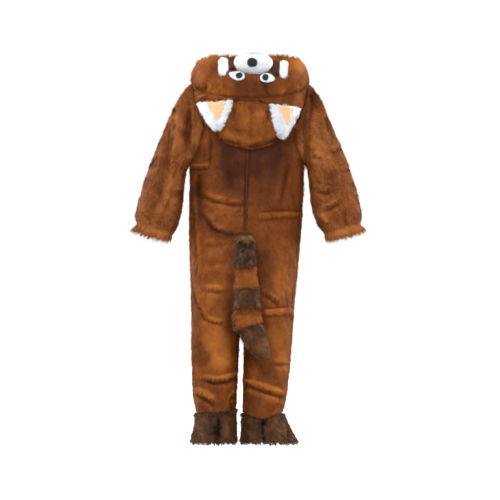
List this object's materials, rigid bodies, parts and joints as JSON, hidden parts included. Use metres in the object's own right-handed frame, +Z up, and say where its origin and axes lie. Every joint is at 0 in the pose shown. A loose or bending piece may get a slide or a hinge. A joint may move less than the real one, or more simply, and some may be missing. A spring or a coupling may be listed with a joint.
{
  "type": "red panda costume",
  "caption": "Child's one-piece plush animal suit, filled out and hollow, with sleeves, legs, flared shoe covers, a stuffed ringed tail and a face hood hanging down the back.",
  "frame": {"origin": "middle of the neck hole at shoulder height, where the wearer's neck and shoulders hold the suit up", "axes": "+Z up towards the head, +Y the way the wearer faces, +X the wearer's right; the hood hangs on the -Y side"},
  "size_m": [0.646, 0.3167, 1.0703],
  "materials": {
    "rust_plush": "short plush with a satin sheen",
    "dark_plush": "longer dark plush",
    "white_plush": "short white plush",
    "peach_felt": "matte felt",
    "black_cloth": "smooth black cloth",
    "button_plastic": "polished"
  },
  "bodies": {
    "root": {"back_left": "rust_plush", "back_right": "rust_plush", "front_left": "rust_plush", "front_right": "rust_plush", "sleeve_left": "rust_plush", "sleeve_right": "rust_plush", "shoe_cover_left": "dark_plush", "shoe_cover_right": "dark_plush", "hood_back": "rust_plush", "hood_face": "rust_plush", "cheek_left": "white_plush", "cheek_right": "white_plush", "stripe_left": "dark_plush", "stripe_right": "dark_plush", "eye_left": "white_plush", "eye_right": "white_plush", "pupil_left": "black_cloth", "pupil_right": "black_cloth", "muzzle": "white_plush", "nose": "black_cloth", "ear_back_left": "rust_plush", "ear_back_right": "rust_plush", "ear_front_left": "white_plush", "ear_front_right": "white_plush", "ear_felt_left": "peach_felt", "ear_felt_right": "peach_felt", "tail_root_dark": "dark_plush", "tail_ring_light_upper": "rust_plush", "tail_ring_dark": "dark_plush", "tail_ring_light_lower": "rust_plush", "tail_tip_dark": "dark_plush", "front_placket": "rust_plush", "button_1": "button_plastic", "button_2": "button_plastic", "button_3": "button_plastic", "button_4": "button_plastic", "button_5": "button_plastic"}
  },
  "joints": []
}
